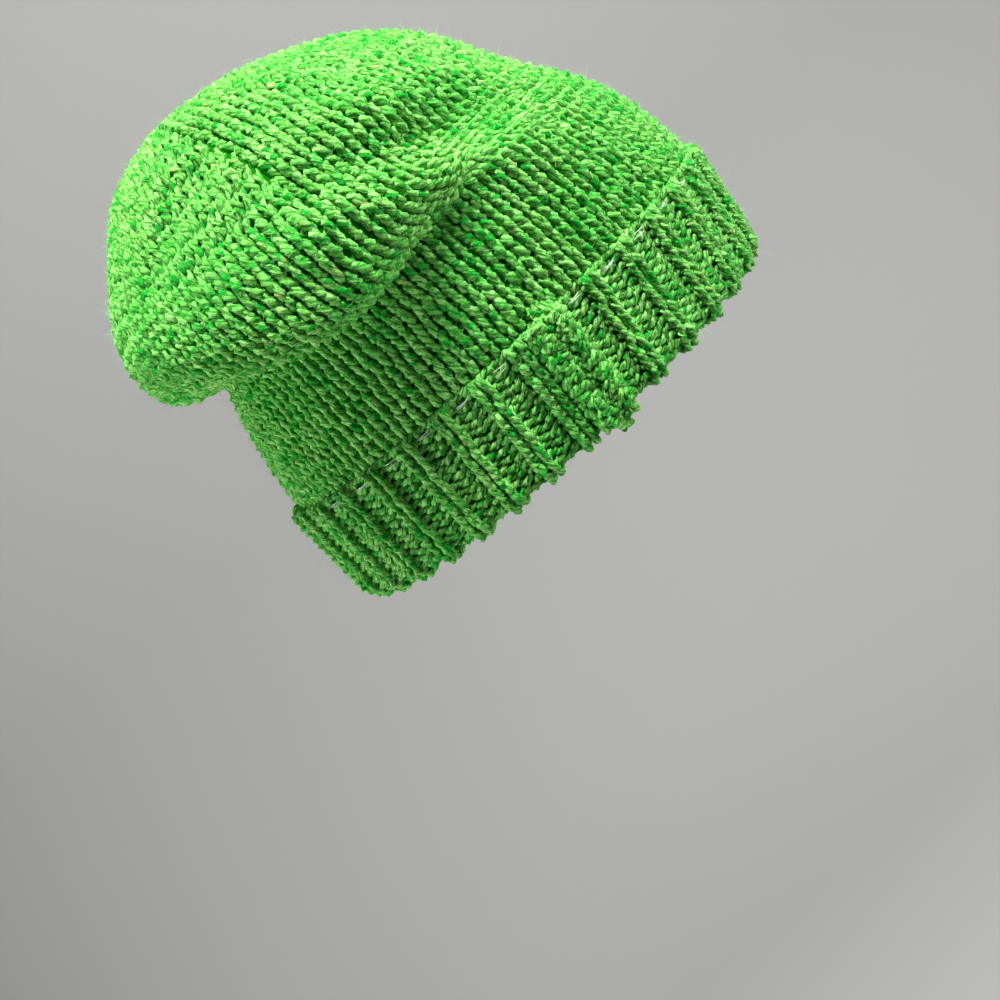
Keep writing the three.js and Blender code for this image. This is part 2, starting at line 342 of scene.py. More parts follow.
@dataclass(frozen=True)
class Fold:
    """One soft ridge or hollow of the worn fabric, along a line on the hat."""

    start: tuple[float, float, float]
    end: tuple[float, float, float]
    height: float
    width: float

    def lift(self, points: np.ndarray) -> np.ndarray:
        """Height times exp(-(distance to the line / width) squared), at each point."""
        start, end = np.array(self.start), np.array(self.end)
        way = end - start
        t = np.clip(((points - start) @ way) / (way @ way), 0, 1)
        gap = np.linalg.norm(points - start - t[..., None] * way, axis=-1)
        return self.height * np.exp(-((gap / self.width) ** 2))


FOLDS = (
    Fold((-52, -95, 129), (-16, -98, 121), 3.0, 11.0),       # the near side's long ridge
    Fold((-16, -98, 121), (28, -79, 106), 4.5, 10.0),
    Fold((28, -79, 106), (57, -69, 91), 3.5, 10.0),
    Fold((1, -88, 151), (30, -78, 140), 2.5, 12.0),          # the ridge above it
    Fold((30, -78, 140), (59, -50, 128), 2.5, 12.0),
    Fold((-8, -97, 135), (32, -80, 122), -2.0, 10.0),         # the hollow between them
    Fold((32, -80, 122), (66, -53, 110), -1.2, 10.0),
    Fold((-70, -68, 150), (-30, -70, 166), -3.0, 9.0),       # soft dents in the slouch
    Fold((-95, 40, 140), (-60, 82, 132), -3.5, 12.0),
    Fold((-20, 92, 138), (30, 80, 126), 3.5, 11.0),
    Fold((-12, 90, 118), (38, 76, 104), -2.5, 9.0),
    Fold((-60, 30, 186), (10, 45, 176), 2.5, 10.0),
)


def worn_surface(angle: np.ndarray, station: np.ndarray) -> np.ndarray:
    """The middle of the fabric: centre + reach cos a + side sin a + rise sin^4 a, through the rails.

    The side rail changes from SIDE_BACK to SIDE_FRONT by a smooth step of cos a.
    """
    front, back, over, smooth = (along_rail(rail, station) for rail in (FRONT, BACK, SIDE_BACK, SIDE_FRONT))
    sine, cosine = np.sin(angle), np.cos(angle)
    share = np.clip((cosine - OVERHANG_TO) / (OVERHANG_FROM - OVERHANG_TO), 0, 1)
    side = over + (smooth - over) * (share * share * (3 - 2 * share))[..., None]
    centre, reach = (front + back) / 2, (front - back) / 2
    x = centre[..., 0] + reach[..., 0] * cosine
    y = side[..., 0] * sine
    z = centre[..., 1] + reach[..., 1] * cosine + (side[..., 1] - centre[..., 1]) * sine ** 4
    return np.stack([x, y, z], axis=-1)


@dataclass
class Fabric:
    """A grid of points and outward normals, over stitches (X) and courses (Y), that stitches are laid on."""

    points: np.ndarray
    normals: np.ndarray
    per_stitch: float
    per_course: float
    facing: int = 1

    @classmethod
    def from_points(
        cls, points: np.ndarray, per_stitch: float, per_course: float, facing: int = 1
    ) -> "Fabric":
        """A fabric from its grid of points, with normals from their differences.

        Args:
            points: (courses, stitches, 3) points.
            per_stitch: grid steps in a stitch.
            per_course: grid steps in a course.
            facing: 1 where courses follow one another upwards, and -1 where they go down, so that the
                normals point away from the head either way.

        Returns:
            The fabric. Where a course shrinks to a point, it takes the mean normal of the course before.
        """
        normals = facing * unit(np.cross(np.gradient(points, axis=1), np.gradient(points, axis=0)))
        if np.ptp(points[-1], axis=0).max() < 0.01:
            normals[-1] = unit(normals[-2].mean(axis=0))
        return cls(points, normals, per_stitch, per_course, facing)

    def sample(self, grid: np.ndarray, x: np.ndarray, y: np.ndarray) -> np.ndarray:
        """Bilinear reading of a grid at stitch x and course y."""
        row = np.clip(y * self.per_course, 0, grid.shape[0] - 1 - 1e-6)
        column = np.clip(x * self.per_stitch, 0, grid.shape[1] - 1 - 1e-6)
        i, j = row.astype(int), column.astype(int)
        u, v = (column - j)[..., None], (row - i)[..., None]
        return ((grid[i, j] * (1 - u) + grid[i, j + 1] * u) * (1 - v)
                + (grid[i + 1, j] * (1 - u) + grid[i + 1, j + 1] * u) * v)

    def place(self, x: np.ndarray, y: np.ndarray, height: np.ndarray) -> tuple[np.ndarray, np.ndarray]:
        """Points at a height off the fabric, and the normals there."""
        normals = unit(self.sample(self.normals, x, y))
        return self.sample(self.points, x, y) + normals * np.asarray(height)[..., None], normals


def body_fabric(course: float) -> tuple[Fabric, int]:
    """The body, slouch and crown as one fabric.

    Courses share each line from brim to crown into equal lengths, and stitches share each course into equal
    lengths, counted from the seam.

    Args:
        course: the pitch of the courses, in millimetres.

    Returns:
        The fabric and its number of courses.
    """
    fine_round, fine_up = 481, 521
    angles = SEAM_ANGLE + np.linspace(0, TWO_PI, fine_round)
    stations = np.linspace(0, len(FRONT) - 1, fine_up)
    net = worn_surface(angles[None, :], stations[:, None])
    lengths = np.concatenate([np.zeros((1, len(angles))),
                              np.cumsum(np.linalg.norm(np.diff(net, axis=0), axis=-1), axis=0)])
    courses = int(round(float(lengths[-1].mean()) / course))
    per_course, per_stitch = 4, 4
    share = np.linspace(0, 1, courses * per_course + 1)
    station = np.stack([np.interp(share, lengths[:, k] / lengths[-1, k], stations)
                        for k in range(len(angles))], axis=1)
    net = worn_surface(angles[None, :], station)
    round_it = np.concatenate([np.zeros((len(share), 1)),
                               np.cumsum(np.linalg.norm(np.diff(net, axis=1), axis=-1), axis=1)], axis=1)
    wanted = np.linspace(0, 1, WALES * per_stitch + 1)
    rows = []
    for k in range(len(share)):
        total = max(float(round_it[k, -1]), 1e-9)
        angle = np.interp(wanted, round_it[k] / total, angles)
        rows.append(worn_surface(angle, np.interp(angle, angles, station[k])))
    points = np.stack(rows)
    fabric = Fabric.from_points(points, per_stitch, per_course)
    lift = sum((fold.lift(points) for fold in FOLDS), np.zeros(points.shape[:2]))
    return Fabric.from_points(points + fabric.normals * lift[..., None], per_stitch, per_course), courses


# ---- stitches ----------------------------------------------------------------------------------
@dataclass(frozen=True)
class Stitch:
    """The loop that a course of yarn makes at every stitch.

    With t from -pi to pi over one stitch, the yarn runs at
        stitch   = t / 2 pi + wide sin 2t     across, in stitches
        course   = tall cos t                 along, in courses
        height   = -face depth cos 2t         off the fabric, in millimetres
    so that a loop is wide at its head and narrow at its foot, its legs are in front where face is 1, as in a
    knit stitch, and its head and foot are in front where face is -1, as in a purl stitch.
    """

    strand: Strand
    pitch: float
    depth: float
    tall: float = 0.8
    wide: float = 0.2
    samples: int = 12
    unrest: float = 0.06

    def phase(self, count: int) -> tuple[np.ndarray, np.ndarray]:
        """The stitch coordinate without its sideways swing, and t, along a course of count stitches."""
        q = np.linspace(0, count, count * self.samples + 1)
        return q, TWO_PI * (q % 1) - math.pi

    def course(self, count: int, rng: np.random.Generator) -> tuple[np.ndarray, ...]:
        """One course in stitch units, a little uneven, as hand knitting is.

        Four lots of chance, as strong as unrest, change each loop's swing (by 0.4 of it), place (0.7),
        height and course.

        Args:
            count: how many stitches.
            rng: the source of chance.

        Returns:
            Stitch and course coordinates, the height for a knit face, and the even stitch coordinate.
        """
        q, t = self.phase(count)
        knots = np.arange(count + 1)
        noise = [np.interp(q, knots, rng.normal(0, self.unrest, count + 1)) for _ in range(4)]
        across = q + (self.wide + 0.4 * noise[0]) * np.sin(2 * t) + 0.7 * noise[1]
        along = (self.tall + noise[2]) * np.cos(t) + noise[3]
        height = -self.depth * np.cos(2 * t)
        return across, along, height, q


def lay_hairs(data: MeshData, share: float, rng: np.random.Generator) -> None:
    """Grows hairs from a share of the yarn's faces, out from the strand, on the hat's outer side."""
    points = np.concatenate(data.verts)
    quads = np.concatenate(data.quads)[np.concatenate(data.quad_parts) == Part.YARN.value]
    corner = points[quads]
    middle = corner.mean(axis=1)
    outward = unit(np.cross(corner[:, 1] - corner[:, 0], corner[:, 3] - corner[:, 0]))
    facing = (outward * unit(middle - np.array(HEART))).sum(axis=1)
    chosen = (rng.random(len(quads)) < share) & (facing > HAIR_FACING)
    Hairs().grow(data, middle[chosen], outward[chosen], rng)


def add_backing(data: MeshData, fabric: Fabric, x_range: tuple[float, float], y_range: tuple[float, float],
                height: float) -> None:
    """Adds a thin closed sheet inside the stitches, in the dark material of painted shade, seen in the gaps
    between them.

    Args:
        data: the mesh to add to.
        fabric: the fabric it follows.
        x_range: its first and last stitch.
        y_range: its first and last course.
        height: how far off the fabric's middle it lies.
    """
    columns = max(2, int(round((x_range[1] - x_range[0]) * BACKING_PER_STITCH)) + 1)
    rows = max(2, int(round((y_range[1] - y_range[0]) * BACKING_PER_STITCH)) + 1)
    x, y = np.meshgrid(np.linspace(*x_range, columns), np.linspace(*y_range, rows))
    skins = [fabric.place(x, y, np.full(x.shape, height + side))[0].reshape(-1, 3)
             for side in (BACKING_HALF, -BACKING_HALF)]
    at = np.arange(rows * columns).reshape(rows, columns)
    quads = np.stack([at[:-1, :-1], at[:-1, 1:], at[1:, 1:], at[1:, :-1]], -1).reshape(-1, 4)
    edge = np.concatenate([at[0, :-1], at[:-1, -1], at[-1, :0:-1], at[:0:-1, 0]])
    after = np.roll(edge, -1)
    lower = rows * columns
    rim = np.stack([edge, edge + lower, after + lower, after], -1)
    faces = np.concatenate([quads, quads[:, ::-1] + lower, rim])
    if fabric.facing < 0:
        faces = faces[:, ::-1]
    data.add(np.concatenate(skins), faces, np.zeros((len(faces), 4, 2)), Part.SHADE)


# ---- the body, the slouch and the crown --------------------------------------------------------
@dataclass
class Stockinette:
    """Everything above the brim, in courses that run from the seam round to the seam."""

    stitch: Stitch = Stitch(Strand(radius=1.88), pitch=4.75, depth=1.6, tall=0.86, wide=0.165,
                            unrest=0.075)
    leg_swell: float = 0.1        # how much thicker a loop is along its legs, and thinner at its ends
    crown_courses: int = 21       # courses from where the decreases start to the top
    crown_gauge: float = 8.6      # width of a stitch there
    eye_girth: float = 42.0       # girth at which the last stitches are gathered
    seam_depth: float = 1.6       # how far the seam draws the fabric in
    seam_width: float = 0.45      # how wide a strip of it, in stitches
    backing: float = -0.5         # how far off the fabric's middle the sheet inside lies
    line_depth: float = 1.7       # how far the crown's lines of decreases lie back
    line_width: float = 0.55      # how wide they are, in stitches
    crease_share: float = 0.30    # share of the courses that lie below the slouch
    under_courses: int = 6        # courses of its underside
    hairs: float = 0.8
    blend_start: tuple[float, float, float] = (0, 0, 0.067)
    blend_end: tuple[float, float, float] = (0, 0, 0.147)

    def __post_init__(self) -> None:
        """Lays out the fabric and counts each course's stitches."""
        self.fabric, self.courses = body_fabric(self.stitch.pitch)
        self.rng = np.random.default_rng(20)
        rows = np.arange(self.courses)
        across = np.linspace(0, WALES, 4 * WALES + 1)
        line = self.fabric.sample(self.fabric.points, across[None, :], rows[:, None] + 0.5)
        round_it = np.linalg.norm(np.diff(line, axis=1), axis=-1).sum(axis=1)
        full = WALES // GORES
        self.crown_from = self.courses - self.crown_courses
        per_gore = np.floor(round_it / GORES / self.crown_gauge + 0.5)
        per_gore[: self.crown_from] = full
        self.per_gore = np.clip(np.minimum.accumulate(per_gore), 1, full)
        small = round_it < self.eye_girth
        self.eye = int(np.argmax(small)) if small.any() else self.courses - 1

    def stitches_at(self, course: np.ndarray) -> np.ndarray:
        """Stitches in one gore at any height, falling evenly between courses."""
        return np.interp(course, np.arange(self.courses) + 0.5, self.per_gore)

    def strand_of(self, data: MeshData, row: int, gore: int | None) -> None:
        """Adds one course, or the part of it that crosses one gore.

        Args:
            data: the mesh to add to.
            row: which course.
            gore: which gore, or None for the whole course.
        """
        per = int(self.per_gore[row])
        count = per if gore is not None else per * GORES
        across, along, height, q = self.stitch.course(count, self.rng)
        y = row + 0.5 + along
        part = np.clip((q // per).astype(int), 0, GORES - 1) if gore is None else np.full(len(q), gore)
        local = across - (part * per if gore is None else 0)
        full = WALES // GORES
        x = part * full + np.minimum(local * full / self.stitches_at(y), full + 0.3)
        seam = np.minimum(np.abs(x), np.abs(x - WALES))
        height = height - self.seam_depth * np.exp(-((seam / self.seam_width) ** 2))
        if gore is not None:
            line = np.abs(x - full * np.round(x / full))
            height = height - self.line_depth * np.exp(-((line / self.line_width) ** 2))
        path, normals = self.fabric.place(np.clip(x, SEAM_EDGE, WALES - SEAM_EDGE), y, height)
        girth = 1 - self.leg_swell * np.cos(2 * TWO_PI * q)
        self.stitch.strand.sweep(data, path, normals, float(self.rng.random() * PHASES), girth)

    def finish(self, name: str, data: MeshData, wool: Sequence[bpy.types.Material],
               nodes: Sequence[str]) -> bpy.types.Object:
        """Grows the hairs, makes the object and hides the parts of the model that it stands for."""
        lay_hairs(data, self.hairs, self.rng)
        piece = data.build(name, wool)
        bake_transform(piece)
        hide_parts(*nodes)
        log.info("%s: %d faces", name, len(piece.data.polygons))
        return piece

    def build_band(self, name: str, rows: range, wool: Sequence[bpy.types.Material],
                   nodes: Sequence[str]) -> bpy.types.Object:
        """Makes a band of whole courses."""
        data = MeshData()
        for row in rows:
            self.strand_of(data, row, None)
        ends = (SEAM_EDGE, WALES - SEAM_EDGE)
        add_backing(data, self.fabric, ends, (rows.start, rows.stop), self.backing)
        return self.finish(name, data, wool, nodes)

    def build_gore(self, gore: int, wool: Sequence[bpy.types.Material]) -> bpy.types.Object:
        """Makes one wedge of the crown, whose courses lose stitches towards the top."""
        data = MeshData()
        for row in range(self.crown_from, self.eye):
            self.strand_of(data, row, gore)
        full = WALES // GORES
        ends = (max(gore * full, SEAM_EDGE), min((gore + 1) * full, WALES - SEAM_EDGE))
        add_backing(data, self.fabric, ends, (self.crown_from, self.courses - 0.6), self.backing)
        return self.finish(f"crown_wedge_{gore + 1}", data, wool, [f"crown_gore_{gore + 1}"])

    def build_gather(self, wool: Sequence[bpy.types.Material]) -> bpy.types.Object:
        """Makes the gathering end: a short spiral of yarn that closes the eye of the crown.

        With t from 0 to 1, the spiral's radius is 6.4 (1 - t) to the power 0.75, over two and a half turns,
        and it climbs 2 mm, with five small waves in each turn.
        """
        data = MeshData()
        start_radius, turns, waves, wave_height, sink, climb = 6.4, 2.5, 5, 0.6, 2.2, 2.0
        t = np.linspace(0, 1, 140)
        angle = turns * TWO_PI * t
        centre = self.fabric.points[-1].mean(axis=0)
        radius = start_radius * (1 - t) ** 0.75
        z = wave_height * np.sin(angle * waves) - sink + climb * t
        path = centre + np.stack([radius * np.cos(angle), radius * np.sin(angle), z], -1)
        self.stitch.strand.sweep(data, path, np.tile(UP, (len(t), 1)), 3.0)
        return self.finish("crown_gathering", data, wool, ["crown_gather"])

    def build_all(self, wool: Sequence[bpy.types.Material]) -> None:
        """Makes every piece above the brim."""
        crease = int(self.courses * self.crease_share)
        turn = crease + self.under_courses
        self.build_band("body_knit_lower", range(0, crease // 2), wool, ["body_tube"])
        self.build_band("body_knit_upper", range(crease // 2, crease), wool, ["body_tube", "body_seam"])
        self.build_band("slouch_knit_under", range(crease, turn), wool, ["slouch_underside"])
        middle = (turn + self.crown_from) // 2
        self.build_band("slouch_knit_side", range(turn, middle), wool, ["slouch_band"])
        self.build_band("slouch_knit_top", range(middle, self.crown_from), wool,
                        ["slouch_band", "slouch_seam"])
        for gore in range(GORES):
            self.build_gore(gore, wool)
        self.build_gather(wool)


# ---- the brim ----------------------------------------------------------------------------------
@dataclass(frozen=True)
class BrimProfile:
    """The brim in section, from its cast-on edge down outside, round the fold and up inside."""

    outer: float = 2.2
    inner: float = -3.9
    fold: float = 6.3
    inside_top: float = 44.0
    lean: float = 0.06            # how far the whole brim leans forwards, for each millimetre up
    flare: float = 0.075          # how far it opens in front, and closes behind

    @property
    def radius(self) -> float:
        """The fold's radius."""
        return (self.outer - self.inner) / 2

    @property
    def drop(self) -> float:
        """The outer layer's length down to the fold."""
        return CUFF_TOP - self.fold

    @property
    def length(self) -> float:
        """The whole length of the profile."""
        return self.drop + math.pi * self.radius + self.inside_top - self.fold

    def at(self, length: np.ndarray) -> tuple[np.ndarray, np.ndarray]:
        """How far outside the fold's oval, and how high, the profile is: a line, a half circle and a line."""
        turn = np.clip((length - self.drop) / self.radius, 0, math.pi)
        past = np.maximum(length - self.drop - math.pi * self.radius, 0)
        before = np.maximum(self.drop - length, 0)
        centre = (self.outer + self.inner) / 2
        return centre + self.radius * np.cos(turn), self.fold - self.radius * np.sin(turn) + before + past


def oval_of_the_fold() -> tuple[float, float]:
    """The half length and half width of the oval that the brim's hinges touch, from the joints' places."""
    places = np.array([j["pos_m"] for j in frame["joints"] if j["name"].startswith("cuff_turn")]) / MM
    inverse = np.linalg.lstsq(places[:, :2] ** 2, np.ones(len(places)), rcond=None)[0]
    return float(inverse[0] ** -0.5), float(inverse[1] ** -0.5)


@dataclass
class Brim:
    """The ribbed brim: seventeen panels of two repeats outside, and the layer inside."""

    stitch: Stitch = Stitch(Strand(radius=1.5, lay=9.0), pitch=3.45, depth=1.6, tall=0.75, wide=0.19,
                            unrest=0.06)
    edge: Strand = Strand(radius=1.3, lay=8.0)
    profile: BrimProfile = BrimProfile()
    knit_share: float = 0.47       # of a repeat's width that its knit stitch takes
    ridge: float = 1.7             # how far the knit wale stands up
    hollow: float = 0.8            # how far the purl wale lies back
    groove: float = 0.8            # how much further back it lies at the knit wale's edges
    groove_width: float = 0.16     # how wide that groove is, in stitches
    change: float = 3.2            # how sharply knit changes to purl, and
    inset: float = 0.25            # how far inside the knit wale it does
    narrower: float = 0.09         # how much less a knit loop swings sideways than a purl one, in stitches
    taller: float = 0.14           # how much taller it is, in courses
    plumper: float = 0.2           # how much thicker its yarn is
    bead: float = 0.16             # how much thicker a purl loop is at its ends, and thinner along its legs
    hairs: float = 0.55
    backing: float = -0.7          # how far off the fabric's middle the sheet inside lies
    elastic_drops: tuple[float, float] = (2.2, 3.1)  # from the brim's edge down to each clear strand

    def __post_init__(self) -> None:
        """Lays out the brim's fabric over all its stitches, from two stitches before the seam."""
        self.rng = np.random.default_rng(7)
        self.half = oval_of_the_fold()
        self.courses = int(round(self.profile.length / self.stitch.pitch))
        self.outside = int(math.ceil((self.profile.drop + math.pi * self.profile.radius) / self.stitch.pitch))
        per = 6
        x = np.linspace(-2, 2 * RIBS - 2, 2 * RIBS * per + 1)
        length = np.linspace(0, 1, self.courses * per + 1) * self.profile.length
        self.fabric = Fabric.from_points(self.spread(x, length), per, per, facing=-1)

    def spread(self, x: np.ndarray, length: np.ndarray) -> np.ndarray:
        """Points for stitches x and profile lengths, as a grid.

        A stitch's angle comes from its share of the oval's arc, where knit stitches are narrow and purl
        stitches wide, and the profile's reach is laid off along the oval's normal.
        """
        long, short = self.half
        fine = SEAM_ANGLE + np.linspace(-0.5, TWO_PI + 0.5, 6001)
        middle = (fine[1:] + fine[:-1]) / 2
        pace = np.hypot(long * np.sin(middle), short * np.cos(middle)) * np.diff(fine)
        arc = np.concatenate([[0.0], np.cumsum(pace)])
        arc = arc - np.interp(SEAM_ANGLE, fine, arc)
        girth = float(np.interp(SEAM_ANGLE + TWO_PI, fine, arc))
        within = x % 2
        purl = self.knit_share + (within - 1) * (1 - self.knit_share)
        share = np.where(within < 1, within * self.knit_share, purl)
        angle = np.interp((x // 2 + share) * girth / RIBS, arc, fine)
        reach, z = self.profile.at(length)
        normal = unit(np.stack([np.cos(angle) / long, np.sin(angle) / short], -1))
        oval = np.stack([long * np.cos(angle), short * np.sin(angle)], -1)
        plan = oval[None] + reach[:, None, None] * normal[None]
        lean = self.profile.lean + self.profile.flare * np.cos(angle)
        plan[..., 0] += lean[None, :] * np.maximum(z - self.profile.fold, 0)[:, None]
        return np.concatenate([plan, np.broadcast_to(z[:, None, None], (*plan.shape[:2], 1))], axis=-1)

    def face(self, x: np.ndarray) -> np.ndarray:
        """1 on knit stitches and -1 on purl ones, changing over inside the edges of the knit wale."""
        return np.tanh(self.change * (np.cos(math.pi * (x - 0.5)) - self.inset))

    def relief(self, x: np.ndarray) -> np.ndarray:
        """How far the wale at x stands off the fabric."""
        blend = 0.5 + 0.5 * self.face(x)
        edge = 0.5 - np.abs((x % 1) - 0.5)
        groove = self.groove * np.exp(-((edge / self.groove_width) ** 2))
        return self.ridge * blend - self.hollow * (1 - blend) - groove

    def course(self, data: MeshData, row: int, x_from: int, count: int) -> None:
        """Adds part of a course of ribbing."""
        across, along, height, q = self.stitch.course(count, self.rng)
        knit = 0.5 + 0.5 * self.face(x_from + q)
        half_turn = np.cos(TWO_PI * (q % 1) - math.pi)
        x = x_from + across - self.narrower * knit * np.sin(2 * TWO_PI * q)
        y = row + 0.5 + along + self.taller * knit * half_turn
        height = height * self.face(x) + self.relief(x)
        path, normals = self.fabric.place(x + 2, y, height)
        girth = 1 + self.plumper * knit + self.bead * (1 - knit) * np.cos(2 * TWO_PI * q)
        self.stitch.strand.sweep(data, path, normals, float(self.rng.random() * PHASES), girth)

    def cast_on(self, data: MeshData, x_from: int, count: int) -> None:
        """Adds the edge: a strand that wraps once over each stitch of the first course.

        Its loops are 0.42 of a course tall and 1.25 mm deep, sway by 0.12 of a stitch, and follow 0.6 of
        the wales' relief.
        """
        samples, foot, tall, deep, sway, follow = 18, 0.02, 0.42, 1.25, 0.12, 0.6
        x = np.linspace(0, count, count * samples + 1)
        turn = TWO_PI * x
        y = foot + tall * np.cos(turn)
        height = deep * np.sin(turn) + follow * self.relief(x_from + x)
        path, normals = self.fabric.place(x_from + x + 2 + sway * np.sin(2 * turn), y, height)
        self.edge.sweep(data, path, normals, float(self.rng.random() * PHASES))

    def build_panel(self, panel: int, wool: Sequence[bpy.types.Material]) -> bpy.types.Object:
        """Makes one outside panel, from the cast-on edge to the fold."""
        data = MeshData()
        start = -2 + 4 * panel
        for row in range(self.outside):
            self.course(data, row, start, 4)
        self.cast_on(data, start, 4)
        add_backing(data, self.fabric, (start + 2, start + 6), (0.0, self.outside), self.backing)
        lay_hairs(data, self.hairs, self.rng)
        name = f"rib_panel_{panel + 1}"
        piece = data.build(name, wool)
        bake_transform(piece)
        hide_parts(f"cuff_panel_{panel + 1}")
        return piece

    def build_inside(self, wool: Sequence[bpy.types.Material]) -> None:
        """Makes the layer next to the head, in four quarters."""
        quarter = RIBS // 2
        for part in range(4):
            data = MeshData()
            start = -2 + part * quarter
            for row in range(self.outside, self.courses):
                self.course(data, row, start, quarter)
            ends = (start + 2, start + 2 + quarter)
            add_backing(data, self.fabric, ends, (self.outside, self.courses), self.backing)
            piece = data.build(f"rib_inside_{part + 1}", wool)
            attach(piece, HAT)
            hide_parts("inner_band")
            log.info("%s: %d faces", piece.name, len(piece.data.polygons))

    def build_elastic(self, panel: int, clear: bpy.types.Material) -> bpy.types.Object:
        """Makes the two clear strands along one panel's edge: over the purl wales, behind the knit ones.

        The first panel's strands start beside the rolled seam. A strand's height is its depth behind the
        knit wales plus its rise times the purl share to the power 1.5, and it wanders by a slow sine.
        """
        data = MeshData()
        end_gap, beside_welt, behind, rise, wander_by, wander_pace = 0.12, 0.85, -1.4, 3.3, 0.12, 2.1
        x = -2 + 4 * panel + np.linspace(end_gap, 4 - end_gap, 93)
        if panel == 0:
            x = x[x > beside_welt]
        strand = Strand(radius=0.17, plies=2, lay=60.0, valley=1.0, slub=0.0)
        for lane, drop in enumerate(self.elastic_drops):
            purl = 0.5 - 0.5 * np.cos(math.pi * (x - 0.5))
            height = behind + rise * purl ** 1.5
            wander = wander_by * np.sin(x * wander_pace + lane * 2)
            path, normals = self.fabric.place(x + 2, drop / self.stitch.pitch + wander, height)
            strand.sweep(data, path, normals, lane + panel * 2.0)
        piece = data.build(f"elastic_thread_{panel + 1}", [clear])
        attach(piece, f"cuff_{panel + 1}")
        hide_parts(f"elastic_{panel + 1}")
        return piece


@dataclass
class SeamWelt:
    """The brim's own seam: the two selvedges rolled together into a rounded welt of purl bumps."""

    brim: Brim
    half_width: float = 7.2
    height: float = 6.4
    dip: float = 2.6              # how far its middle lies back between the rolls
    foot: float = 2.6             # where it stands, outside the fold's oval
    low: float = -0.6             # height of its lower end
    proud: float = 3.6            # how far its upper end stands above the brim
    rounded: float = 6.0          # length of each rounded end
    wales: int = 4
    hairs: float = 0.55
    stitch: Stitch = Stitch(Strand(radius=1.9, lay=8.0), pitch=4.4, depth=1.5, tall=0.8, wide=0.17,
                            unrest=0.14)

    def build(self, wool: Sequence[bpy.types.Material]) -> bpy.types.Object:
        """Makes the welt.

        Its section is a half ellipse that stands on the panel. Its height grows by dip times (sin squared of
        2u less sin cubed of u), so that it rises into two rolls with a dip between them. It narrows to a
        round end above the brim's edge and at the fold: the half width and height are multiplied by
        sqrt(1 - e squared), where e goes from 0 to 1 over the last few millimetres.
        """
        joint = next(j for j in frame["joints"] if j["name"] == "cuff_turn_1")
        hinge, along = np.array(joint["pos_m"]) / MM, np.array(joint["axis"])
        out = np.array([along[1], -along[0], 0.0])
        low, high = self.low, CUFF_TOP + self.proud
        courses = int(round((high - low) / self.stitch.pitch))
        per = 6
        v = np.linspace(0, 1, courses * per + 1)[:, None]
        u = np.linspace(0, math.pi, self.wales * per + 1)[None, :]
        z = high + (low - high) * v
        from_end = np.minimum(z - low, high - z)
        e = np.clip(1 - from_end / self.rounded, 0, 1)
        full = np.sqrt(np.maximum(1 - e ** 2, 0.02))
        side = -np.cos(u) * self.half_width * full
        rolled = self.height + self.dip * (np.sin(2 * u) ** 2 - np.sin(u) ** 3)
        reach = self.foot + np.sin(u) * rolled * full
        lean = self.brim.profile.lean * np.maximum(z - self.brim.profile.fold, 0)
        points = hinge + along * side[..., None] + out * reach[..., None] + UP * (z + 0 * u)[..., None]
        points[..., 0] += lean
        fabric = Fabric.from_points(points, per, per, facing=-1)
        rng = np.random.default_rng(31)
        data = MeshData()
        for row in range(courses):
            across, y, height, _ = self.stitch.course(self.wales, rng)
            path, normals = fabric.place(across, row + 0.5 + y, -height)
            self.stitch.strand.sweep(data, path, normals, float(rng.random() * PHASES))
        add_backing(data, fabric, (0, self.wales), (0.1, courses - 0.1), -0.8)
        lay_hairs(data, self.hairs, rng)
        piece = data.build("seam_welt", wool)
        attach(piece, "cuff_1")
        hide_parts("cuff_seam_welt")
        return piece


# ---- finishes ----------------------------------------------------------------------------------
Colour = tuple[float, float, float]


@dataclass(frozen=True)
class Tweed:
    """A tweed yarn's colours: its base, the paler and deeper fibres in it, and the flecks spun into it. The
    deep colour also gives the painted shade in the valleys between plies and in the sheet inside the fabric.
    """

    name: str
    base: Colour = (0.21, 0.66, 0.115)
    pale: Colour = (0.42, 0.86, 0.27)
    # the deeper fibres, and also the painted shade in ply valleys and inside the fabric
    deep: Colour = (0.004, 0.17, 0.003)
    fleck: Colour = (0.003, 0.42, 0.035)
    cream: Colour = (0.50, 0.52, 0.20)
    flecks: float = 0.572
    creams: float = 0.66
    bump: float = 0.8


def new_group(name: str, inputs: dict[str, str], outputs: dict[str, str]) -> bpy.types.NodeTree:
    """An empty shader node group with named sockets.

    Args:
        name: the group's name.
        inputs: socket names and their types.
        outputs: the same for its outputs.

    Returns:
        The group, with its input and output nodes in place.
    """
    group = bpy.data.node_groups.new(name, "ShaderNodeTree")
    for way, sockets in (("INPUT", inputs), ("OUTPUT", outputs)):
        for socket, kind in sockets.items():
            group.interface.new_socket(socket, in_out=way, socket_type=kind)
    group.nodes.new("NodeGroupInput")
    group.nodes.new("NodeGroupOutput")
    return group


